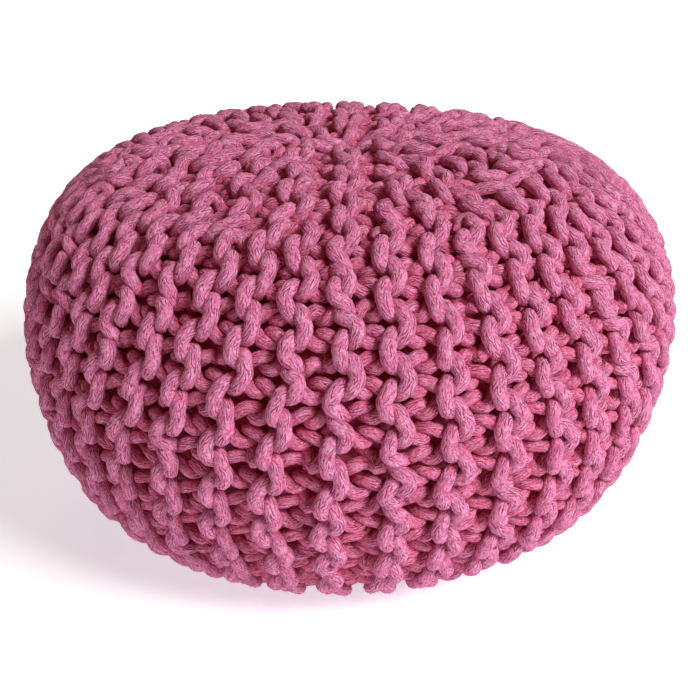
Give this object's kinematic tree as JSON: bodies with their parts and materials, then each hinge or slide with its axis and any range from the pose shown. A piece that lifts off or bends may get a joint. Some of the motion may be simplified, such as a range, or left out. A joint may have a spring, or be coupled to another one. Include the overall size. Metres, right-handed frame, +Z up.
{
  "type": "round knitted pouf",
  "caption": "Round squashed-sphere pouf in thick pink cord, garter-knit ribs from pole to pole, drawn together over a filled inner bag.",
  "frame": {"origin": "middle of the underside, where the pouf rests on the floor", "axes": "+Z up, -Y the side that faces the viewer, +X to the viewer's right"},
  "size_m": [0.4993, 0.4992, 0.2989],
  "materials": {
    "cord": "matt braided cotton cord, heathered",
    "bag_cloth": "smooth plain cloth"
  },
  "bodies": {
    "root": {"knitted_cover": "cord", "inner_bag": "bag_cloth"}
  },
  "joints": []
}
